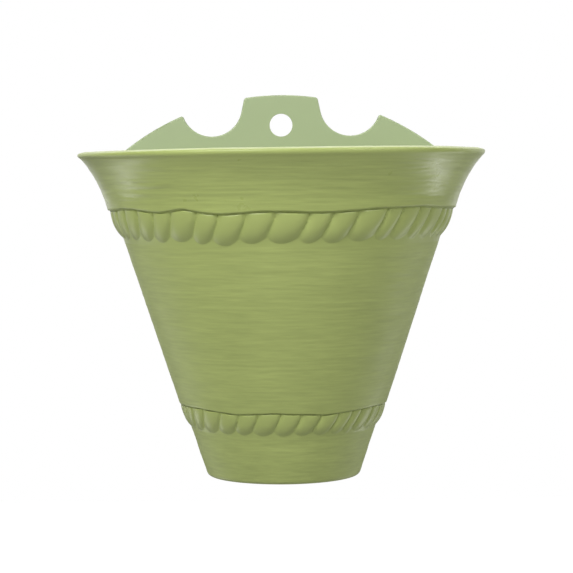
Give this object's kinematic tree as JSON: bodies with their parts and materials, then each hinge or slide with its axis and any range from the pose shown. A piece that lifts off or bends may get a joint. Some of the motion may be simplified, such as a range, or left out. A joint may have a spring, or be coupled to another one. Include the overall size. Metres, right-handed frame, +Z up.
{
  "type": "hanging wall vase",
  "caption": "Half-round planter with a flared rim and two rope bands, hung flat on a wall by the hole in its arched back.",
  "frame": {"origin": "where the axis of the hanging hole meets the wall plane, which is the rear face of the back plate", "axes": "+Y into the wall, -Y out of it towards the viewer, +X along the wall to the viewer's right, +Z up"},
  "size_m": [0.25, 0.125, 0.2341],
  "materials": {
    "shell_plastic": "satin",
    "plate_plastic": "satin",
    "grate_plastic": "matte",
    "plug_rubber": "matte"
  },
  "bodies": {
    "planter": {"front_shell": "shell_plastic", "back_plate": "plate_plastic"},
    "grate": {"drainage_grate": "grate_plastic"},
    "plug_left": {"drain_plug_left": "plug_rubber"},
    "plug_centre": {"drain_plug_centre": "plug_rubber"},
    "plug_right": {"drain_plug_right": "plug_rubber"}
  },
  "joints": [
    {"name": "grate_lift", "type": "slide", "parent": "planter", "child": "grate", "axis": [0, 0, 1], "range_m": [0, 0.21]},
    {"name": "plug_left_pull", "type": "slide", "parent": "planter", "child": "plug_left", "axis": [0, 0, -1], "range_m": [0, 0.012]},
    {"name": "plug_centre_pull", "type": "slide", "parent": "planter", "child": "plug_centre", "axis": [0, 0, -1], "range_m": [0, 0.012]},
    {"name": "plug_right_pull", "type": "slide", "parent": "planter", "child": "plug_right", "axis": [0, 0, -1], "range_m": [0, 0.012]}
  ]
}
